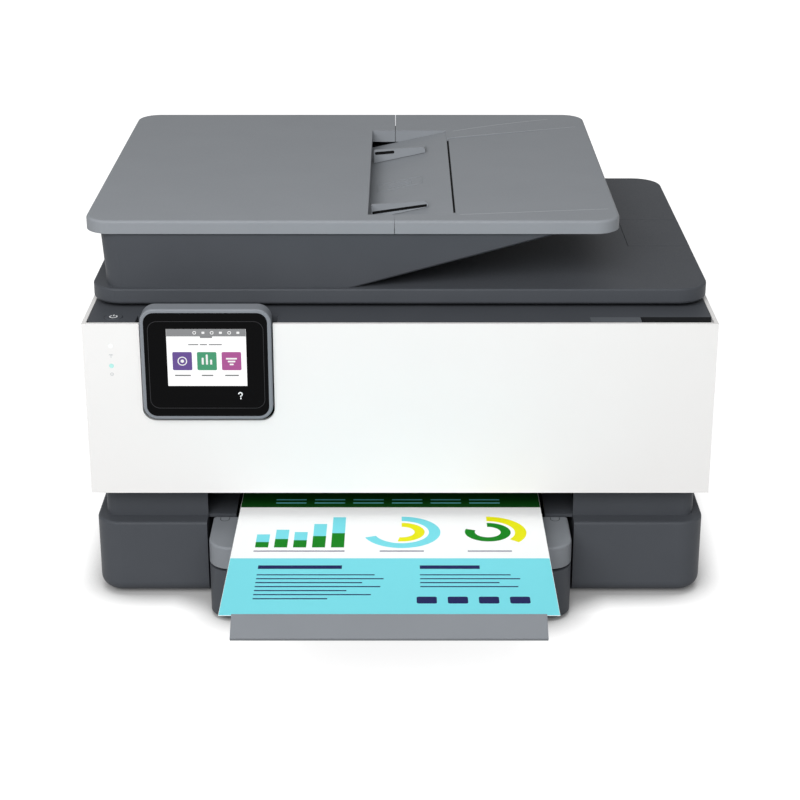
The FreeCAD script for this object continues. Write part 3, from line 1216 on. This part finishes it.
def feed_motor():
    left = PLATE_LEFT + CHASSIS_SHEET
    can = rod((left, PINION_Y, PINION_Z), (left + FEED_MOTOR_LENGTH, PINION_Y, PINION_Z), MOTOR_RADIUS)
    can = bevelled(can, WALL, lambda e: e.BoundBox.XMin > left + FEED_MOTOR_LENGTH - 0.001)
    return can.cut(rod((left, PINION_Y, PINION_Z), (left + 2 * WALL, PINION_Y, PINION_Z), SHAFT_RADIUS + FIT))


def motor_pinion():
    wheel = gear(PINION_TEETH, PINION_Y, PINION_Z, 0, PINION_ANGLE + math.pi + math.pi / PINION_TEETH)
    shaft = rod((GEAR_RIGHT, PINION_Y, PINION_Z),
                (PLATE_LEFT + CHASSIS_SHEET + 2 * WALL - RUN, PINION_Y, PINION_Z), SHAFT_RADIUS)
    return wheel.fuse(shaft).removeSplitter()


def idler_gear():
    return gear(IDLER_TEETH, IDLER_Y, ROLLER_Z, SHAFT_RADIUS + FIT, math.pi / IDLER_TEETH)


def feed_roller():
    shaft = rod((GEAR_RIGHT, FEED_Y, ROLLER_Z), (PLATE_RIGHT, FEED_Y, ROLLER_Z), SHAFT_RADIUS)
    barrel = rod((TUNNEL_LEFT, FEED_Y, ROLLER_Z), (TUNNEL_RIGHT, FEED_Y, ROLLER_Z), FEED_RADIUS)
    return gear(FEED_TEETH, FEED_Y, ROLLER_Z, 0, math.pi).fuse([shaft, barrel]).removeSplitter()


def exit_roller():
    shaft = rod((GEAR_RIGHT, EXIT_Y, ROLLER_Z), (PLATE_RIGHT, EXIT_Y, ROLLER_Z), SHAFT_RADIUS)
    tyres = []
    for step in (-1.5, -0.5, 0.5, 1.5):
        x = PATH_X + step * SHEET_WIDTH / 4
        tyres.append(rod((x - TYRE_WIDTH / 2, EXIT_Y, ROLLER_Z), (x + TYRE_WIDTH / 2, EXIT_Y, ROLLER_Z),
                         TYRE_RADIUS))
    return gear(FEED_TEETH, EXIT_Y, ROLLER_Z, 0, math.pi / FEED_TEETH).fuse([shaft] + tyres).removeSplitter()


def platen():
    left = TUNNEL_LEFT + RUN
    right = TUNNEL_RIGHT - RUN
    depth = (PLATEN_FRONT, PLATEN_REAR)
    legs = RAIL_WIDTH - WALL
    arch = [(left, LOWER_TOP), (left + legs, LOWER_TOP), (left + legs, PLATEN_TOP - PLATEN_THICK),
            (right - legs, PLATEN_TOP - PLATEN_THICK), (right - legs, LOWER_TOP), (right, LOWER_TOP),
            (right, PLATEN_TOP), (left, PLATEN_TOP)]
    body = along_y(arch, depth)
    pitch = SHEET_WIDTH / (PLATEN_RIBS - 1)
    ribs = []
    for index in range(PLATEN_RIBS):
        x = PATH_X - SHEET_WIDTH / 2 + index * pitch
        ribs.append(block(grow((x, x), PLATEN_RIB / 2), grow(depth, -2 * WALL),
                          (PLATEN_TOP, PLATEN_TOP + PLATEN_RIB)))
    return body.fuse(ribs).removeSplitter()


def ink_spans():
    """Left and right edges of the cartridges in the carriage."""
    x = CARRIAGE_LEFT + CARRIAGE_WALL + INK_GAP
    spans = []
    for width in INK_WIDTHS:
        spans.append((x, x + width))
        x += width + INK_GAP
    return spans


def carriage():
    x = (CARRIAGE_LEFT, CARRIAGE_RIGHT)
    low = CARRIAGE_BOTTOM
    top = low + CARRIAGE_HEIGHT
    body = block(x, (CARRIAGE_FRONT, CARRIAGE_REAR), (low, top))
    body = rounded(body, 2 * WALL, lambda e: e.BoundBox.ZLength > CARRIAGE_HEIGHT / 2
                   and e.BoundBox.YMax < CARRIAGE_FRONT + 1)
    bay = block(grow(x, -CARRIAGE_WALL), (CARRIAGE_FRONT - WALL, CARRIAGE_REAR - CARRIAGE_BACK),
                (low + 2 * CARRIAGE_WALL, top + WALL))
    body = body.cut(bay)
    side_cut = [(CARRIAGE_FRONT - WALL, low + CARRIAGE_HEIGHT / 3),
                (CARRIAGE_REAR - CARRIAGE_BACK, top + WALL),
                (CARRIAGE_FRONT - WALL, top + WALL)]
    body = body.cut(along_x(side_cut, grow(x, WALL)))
    body = body.cut(rod((x[0], ROD_Y, ROD_Z), (x[1], ROD_Y, ROD_Z), ROD_RADIUS + FIT))
    middle = (CARRIAGE_LEFT + CARRIAGE_RIGHT) / 2
    clip_rear = BELT_Y - PULLEY_RADIUS - RUN - BELT_THICK - RUN
    clip = block(grow((middle, middle), 3 * WALL), (CARRIAGE_REAR - WALL, clip_rear), (BELT_Z - WALL, top))
    nozzle = block(grow((middle, middle), CARRIAGE_WIDTH / 4),
                   (CARRIAGE_FRONT + 10 * WALL, CARRIAGE_REAR - 2 * CARRIAGE_BACK),
                   (low - NOZZLE_HEIGHT, low))
    return body.fuse([clip, nozzle]).removeSplitter()


def cartridge(index):
    x = ink_spans()[index]
    low = CARRIAGE_BOTTOM + 2 * CARRIAGE_WALL
    front = CARRIAGE_FRONT + INK_GAP
    rear = front + INK_LENGTH
    step = INK_HEIGHT / 5
    side = [(front, low), (rear, low), (rear, low + INK_HEIGHT - 2 * step),
            (rear - step, low + INK_HEIGHT - step),
            (front + 2 * step, low + INK_HEIGHT - step),
            (front + step, low + INK_HEIGHT), (front, low + INK_HEIGHT)]
    tank = along_x(side, x)
    return rounded(tank, WALL / 2, lambda e: e.BoundBox.YMax < front + 0.001 and e.BoundBox.ZLength > step)


def service_station():
    x = (SERVICE_LEFT, SERVICE_LEFT + SERVICE_WIDTH)
    y = (SERVICE_FRONT, SERVICE_REAR)
    top = CARRIAGE_BOTTOM - NOZZLE_HEIGHT - SERVICE_GAP
    tub = block(x, y, (FLOOR, top))
    tub = tub.cut(block(grow(x, -WALL), grow(y, -WALL), (top - 4 * WALL, top)))
    caps = []
    for step in (0, 1):
        left = x[0] + 3 * WALL + step * SERVICE_WIDTH / 2
        cap = block((left, left + SERVICE_WIDTH / 3), grow(y, -4 * WALL), (top - 4 * WALL, top - WALL / 2))
        well = block(grow((left, left + SERVICE_WIDTH / 3), -WALL), grow(y, -5 * WALL), (top - 2 * WALL, top))
        caps.append(cap.cut(well))
    return tub.fuse(caps).removeSplitter()


def pick_arm():
    axis = (PICK_ARM_Y, PICK_ARM_Z)
    shaft = rod((TUNNEL_LEFT - WALL / 2,) + axis, (TUNNEL_RIGHT + WALL / 2,) + axis, SHAFT_RADIUS)
    parts = []
    for side in (-1, 1):
        x = sorted((PATH_X + side * PICK_HALF, PATH_X + side * (PICK_HALF - PICK_PLATE)))
        reach = SHAFT_RADIUS + WALL
        base = ((PICK_ROLLER_Y, PICK_ROLLER_Z - reach), (PICK_ROLLER_Y, PICK_ROLLER_Z + reach))
        cheek = eye(x, PICK_ARM_Y, PICK_ARM_Z, reach, base)
        nose = rod((x[0], PICK_ROLLER_Y, PICK_ROLLER_Z), (x[1], PICK_ROLLER_Y, PICK_ROLLER_Z), reach)
        parts += [cheek, nose]
    deck = block(grow((PATH_X, PATH_X), PICK_HALF - PICK_PLATE / 2),
                 (PICK_ROLLER_Y + PICK_ROLLER_RADIUS + WALL, PICK_ARM_Y),
                 (PICK_ARM_Z, PICK_ARM_Z + SHAFT_RADIUS))
    arm = shaft.fuse(parts + [deck])
    pin = rod((PATH_X - PICK_HALF, PICK_ROLLER_Y, PICK_ROLLER_Z),
              (PATH_X + PICK_HALF, PICK_ROLLER_Y, PICK_ROLLER_Z), SHAFT_RADIUS)
    return arm.fuse(pin).removeSplitter()


def pick_roller():
    half = PICK_HALF - PICK_PLATE - RUN
    tyre = rod((PATH_X - half, PICK_ROLLER_Y, PICK_ROLLER_Z), (PATH_X + half, PICK_ROLLER_Y, PICK_ROLLER_Z),
               PICK_ROLLER_RADIUS)
    return tyre.cut(rod((PATH_X - half, PICK_ROLLER_Y, PICK_ROLLER_Z),
                        (PATH_X + half, PICK_ROLLER_Y, PICK_ROLLER_Z),
                        SHAFT_RADIUS + FIT))


# Rear and electrics


def rear_cover():
    x = grow((PATH_X, PATH_X), REAR_HALF)
    low = REAR_BOTTOM
    face = (CASE_REAR + SEAM, BODY_DEPTH)
    cover = upright(x, (low, REAR_TOP), face, 2 * WALL)
    reach = REAR_HALF - 5 * WALL
    ribs = []
    for index in range(REAR_RIBS):
        middle = PATH_X - reach + index * 2 * reach / (REAR_RIBS - 1)
        high = REAR_TOP - 3 * WALL
        foot = low + 4 * WALL
        arc = Part.Arc(V(middle, face[0], foot), V(middle, face[0] - REAR_RIB_DEPTH, (foot + high) / 2),
                       V(middle, face[0], high)).toShape()
        chord = Part.makeLine(V(middle, face[0], high), V(middle, face[0], foot))
        fin = Part.Face(Part.Wire([arc, chord])).extrude(V(WALL / 2, 0, 0))
        ribs.append(fin)
    cover = cover.fuse(ribs)
    for side in (-1, 1):
        edge = PATH_X + side * (REAR_HALF - 3 * WALL)
        notch = sorted((edge - side * RUN, edge + side * (WALL + RUN)))
        cover = cover.cut(block(notch, grow(face, WALL), (low - WALL, low + REAR_COVER + RUN)))
        cover = cover.fuse(rod((edge - side * WALL, REAR_AXIS_Y, REAR_AXIS_Z),
                               (edge + side * 2 * WALL, REAR_AXIS_Y, REAR_AXIS_Z),
                               REAR_PIN))
    return cover.removeSplitter()


def socket(x, z, size, pins):
    """Panel socket open to the back, with a row of contacts."""
    body = block(grow((x, x), size[0] / 2), (CASE_REAR - size[2], CASE_REAR), grow((z, z), size[1] / 2))
    body = body.cut(block(grow((x, x), size[0] / 2 - PORT_WALL * 2),
                          (CASE_REAR - size[2] + 2 * PORT_WALL, CASE_REAR + WALL),
                          grow((z, z), size[1] / 2 - PORT_WALL * 2)))
    for index in range(pins):
        px = x + (index - (pins - 1) / 2) * size[0] / (pins + 2)
        body = body.fuse(rod((px, CASE_REAR - size[2] + PORT_WALL, z),
                             (px, CASE_REAR - 3 * PORT_WALL, z), PORT_WALL))
    return body


def power_inlet():
    return socket(INLET_X, INLET_Z, INLET_SIZE, 2)


def usb_port():
    return socket(USB_X, PORT_Z, USB_SIZE, 0)


def network_port():
    return socket(NETWORK_X, PORT_Z, NETWORK_SIZE, 0)


def main_board():
    x = (-HALF + BOARD_LEFT, TUNNEL_LEFT - WALL - BOARD_CLEAR)
    y = (BOARD_FRONT, BOARD_FRONT + BOARD_DEPTH)
    low = FLOOR + BOARD_POST
    top = low + BOARD_THICK
    board = block(x, y, (low, top))
    posts = []
    for px in grow(x, -2 * WALL):
        for py in grow(y, -2 * WALL):
            posts.append(rod((px, py, FLOOR), (px, py, low), WALL))
    centre = (x[0] + x[1]) / 2
    chip = block(grow((centre, centre), (x[1] - x[0]) / 5),
                 (y[0] + BOARD_POST * 4, y[0] + BOARD_POST * 8), (top, top + WALL))
    link = block((x[0] + BOARD_POST, x[1] - BOARD_POST), (y[1] - BOARD_POST * 3, y[1] - BOARD_POST),
                 (top, top + BOARD_POST))
    return board.fuse(posts + [chip, link]).removeSplitter()


def power_supply():
    x = (SUPPLY_LEFT, HALF - SUPPLY_MARGIN)
    y = (SUPPLY_FRONT, SUPPLY_FRONT + SUPPLY_DEPTH)
    box = block(x, y, (FLOOR, FLOOR + SUPPLY_HEIGHT))
    return rounded(box, WALL, level(FLOOR + SUPPLY_HEIGHT))


# Pieces, with the origin moved to the middle of the footprint on the table
LIP_FRONT = LIP_TOP[0] - LIP_LENGTH * math.cos(math.radians(LIP_ANGLE))
ORIGIN = V(0, -(LIP_FRONT + BODY_DEPTH) / 2, 0)

PIECES = {
    "lower_case": lower_case(),
    "rubber_feet": Part.Compound(rubber_feet()),
    "upper_case": upper_case(),
    "side_cover_left": side_cover(-1),
    "side_cover_right": side_cover(1),
    "front_door": front_door(),
    "status_lights": Part.Compound(status_lights()),
    "panel_housing": panel_housing(),
    "panel_glass": panel_glass(),
    "display": display(),
    "panel_bracket": panel_bracket(),
    "scanner_base": scanner_base(),
    "scanner_top": scanner_top(),
    "platen_glass": Part.Compound(platen_glass()),
    "power_button": power_button(),
    "scan_bar": scan_bar(),
    "scan_lid": scan_lid(),
    "lid_pad": lid_pad(),
    "paper_stop": paper_stop(),
    "feeder_base": feeder_base(),
    "feeder_cover": feeder_cover(),
    "feeder_tray": feeder_tray(),
    "feeder_guide_front": feeder_guide(-1),
    "feeder_guide_rear": feeder_guide(1),
    "feeder_pick_roller": feeder_pick_roller(),
    "feeder_turn_roller": feeder_turn_roller(),
    "cassette": cassette(),
    "side_guide_left": side_guide(-1),
    "side_guide_right": side_guide(1),
    "end_guide": end_guide(),
    "output_tray": output_tray(),
    "output_extender": output_extender(),
    "printed_sheet": printed_sheet(),
    "print_chassis": print_chassis(),
    "carriage_rod": carriage_rod(),
    "drive_belt": drive_belt(),
    "drive_pulley": drive_pulley(),
    "idler_pulley": idler_pulley(),
    "carriage_motor": carriage_motor(),
    "feed_motor": feed_motor(),
    "motor_pinion": motor_pinion(),
    "idler_gear": idler_gear(),
    "feed_roller": feed_roller(),
    "exit_roller": exit_roller(),
    "platen": platen(),
    "carriage": carriage(),
    "cartridge_black": cartridge(0),
    "cartridge_cyan": cartridge(1),
    "cartridge_magenta": cartridge(2),
    "cartridge_yellow": cartridge(3),
    "service_station": service_station(),
    "pick_arm": pick_arm(),
    "pick_roller": pick_roller(),
    "rear_cover": rear_cover(),
    "power_inlet": power_inlet(),
    "usb_port": usb_port(),
    "network_port": network_port(),
    "main_board": main_board(),
    "power_supply": power_supply(),
}

for name, shape in PIECES.items():
    shape.translate(ORIGIN)
    shape.exportStep("parts/" + name + ".step")
